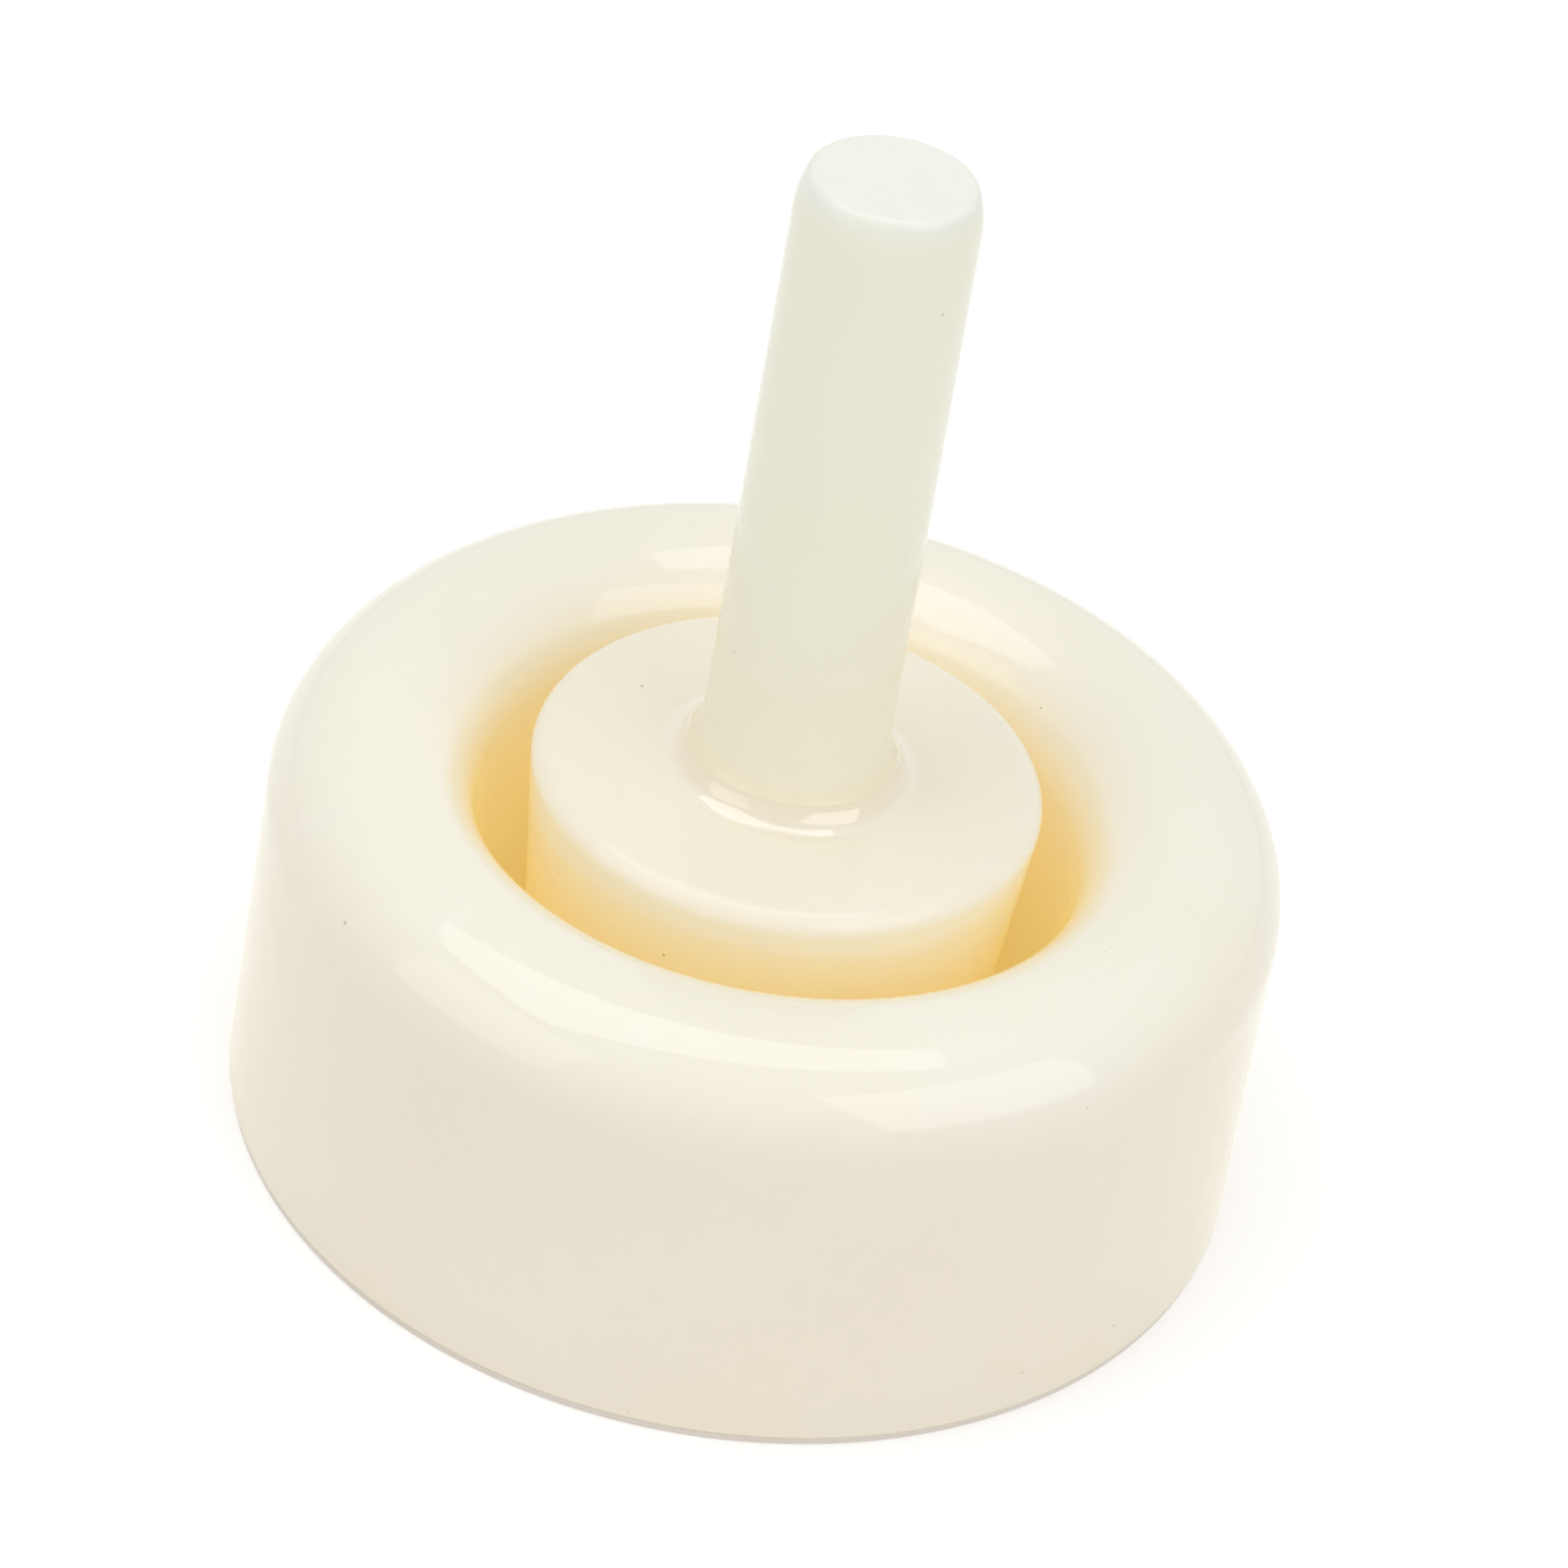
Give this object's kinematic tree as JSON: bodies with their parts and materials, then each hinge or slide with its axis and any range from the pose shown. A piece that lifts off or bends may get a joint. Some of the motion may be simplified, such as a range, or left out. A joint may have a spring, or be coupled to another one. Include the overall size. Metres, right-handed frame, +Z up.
{
  "type": "waffle bowl mold",
  "caption": "Two-part hand mold for waffle bowls: a thick round ring with a fully rounded rim, and a tapered plunger with an upright handle that lifts out of it.",
  "frame": {"origin": "middle of the underside, on the surface that the mold stands on", "axes": "+Z up, along the common axis of the ring and the plunger, towards the end of the handle; -Y is the side that the picture is taken from"},
  "size_m": [0.14, 0.14, 0.1491],
  "materials": {
    "ring_plastic": "polished cream cast plastic, slightly milky",
    "base_sheet": "plain greyish sheet plastic",
    "former_plastic": "smooth cream cast plastic, slightly milky",
    "handle_plastic": "satin cream plastic with a faint green cast",
    "bead_cement": "glossy set cement",
    "screw_steel": "plain stainless steel",
    "washer_steel": "plain stainless steel",
    "plug_plastic": "smooth cream plastic"
  },
  "bodies": {
    "mold": {"mold_ring": "ring_plastic", "mold_base": "base_sheet"},
    "plunger": {"former": "former_plastic", "handle_rod": "handle_plastic", "handle_bead": "bead_cement", "handle_screw": "screw_steel", "screw_washer": "washer_steel", "former_plug": "plug_plastic"}
  },
  "joints": [
    {"name": "plunger_lift", "type": "slide", "parent": "mold", "child": "plunger", "axis": [0, 0, 1], "range_m": [0, 0.075]}
  ]
}
